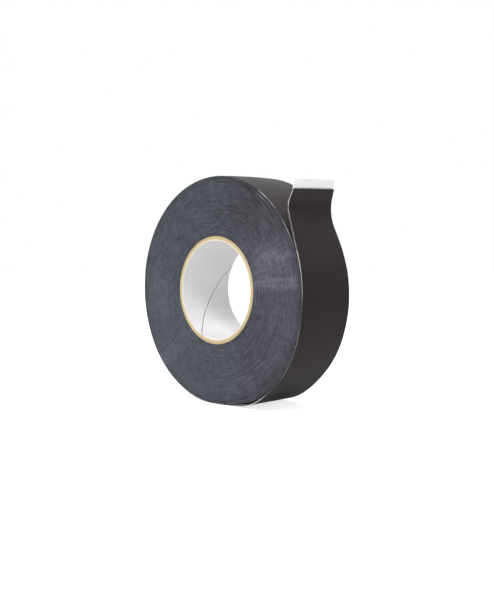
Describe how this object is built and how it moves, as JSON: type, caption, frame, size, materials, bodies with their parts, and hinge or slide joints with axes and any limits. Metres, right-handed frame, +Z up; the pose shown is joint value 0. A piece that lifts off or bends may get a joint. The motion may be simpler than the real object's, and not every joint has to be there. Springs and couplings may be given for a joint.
{
  "type": "grip tape roll",
  "caption": "Roll of black woven grip tape on a spiral-wound paper core, standing on its rim, with a loose outer turn, a free curled tail and a white release liner tab.",
  "frame": {"origin": "middle of the core's bore, on its axis, halfway across the tape's width", "axes": "+Y along the bore, from the near side face to the far one; +Z up, away from the flat that the roll stands on; +X towards the loose outer turn and the free tail"},
  "size_m": [0.0884, 0.0254, 0.0874],
  "materials": {
    "tape_cloth": "black woven cloth with a fine diagonal texture, matt rubbery face",
    "adhesive": "dark rubber adhesive coat",
    "release_liner": "white silicone-coated release paper, satin",
    "kraft_board": "tan kraft core board, cut edge",
    "white_paper": "smooth white inner ply with a butt seam"
  },
  "bodies": {
    "roll": {"core_inner_ply": "white_paper", "core_body_ply_1": "kraft_board", "core_body_ply_2": "kraft_board", "core_body_ply_3": "kraft_board", "core_outer_ply": "kraft_board", "starter_strip": "adhesive", "tight_winding": "tape_cloth", "slack_turns_cloth": "tape_cloth", "slack_turns_adhesive": "adhesive", "slack_turns_liner": "release_liner", "outer_wrap_cloth": "tape_cloth", "outer_wrap_adhesive": "adhesive", "outer_wrap_liner": "release_liner"},
    "lower_tail": {"tail_lower_cloth": "tape_cloth", "tail_lower_adhesive": "adhesive", "tail_lower_liner": "release_liner"},
    "middle_tail": {"tail_middle_cloth": "tape_cloth", "tail_middle_adhesive": "adhesive", "tail_middle_liner": "release_liner"},
    "upper_tail": {"tail_upper_cloth": "tape_cloth", "tail_upper_adhesive": "adhesive", "tail_upper_liner": "release_liner"},
    "tab": {"liner_tab": "release_liner"}
  },
  "joints": [
    {"name": "tail_lift", "type": "hinge", "parent": "roll", "child": "lower_tail", "pos_m": [0.04175, 0, 0.01453], "axis": [0, 1, 0], "range_deg": [-4, 50], "stiffness_Nm_per_rad": 0.006},
    {"name": "tail_fold_lower", "type": "hinge", "parent": "lower_tail", "child": "middle_tail", "pos_m": [0.03919, 0, 0.02196], "axis": [0, 1, 0], "range_deg": [-10, 50], "stiffness_Nm_per_rad": 0.006},
    {"name": "tail_fold_upper", "type": "hinge", "parent": "middle_tail", "child": "upper_tail", "pos_m": [0.03699, 0, 0.02951], "axis": [0, 1, 0], "range_deg": [-15, 50], "stiffness_Nm_per_rad": 0.006},
    {"name": "tab_fold", "type": "hinge", "parent": "upper_tail", "child": "tab", "pos_m": [0.03834, 0, 0.03719], "axis": [0, 1, 0], "range_deg": [-135, 75], "stiffness_Nm_per_rad": 0.001}
  ]
}
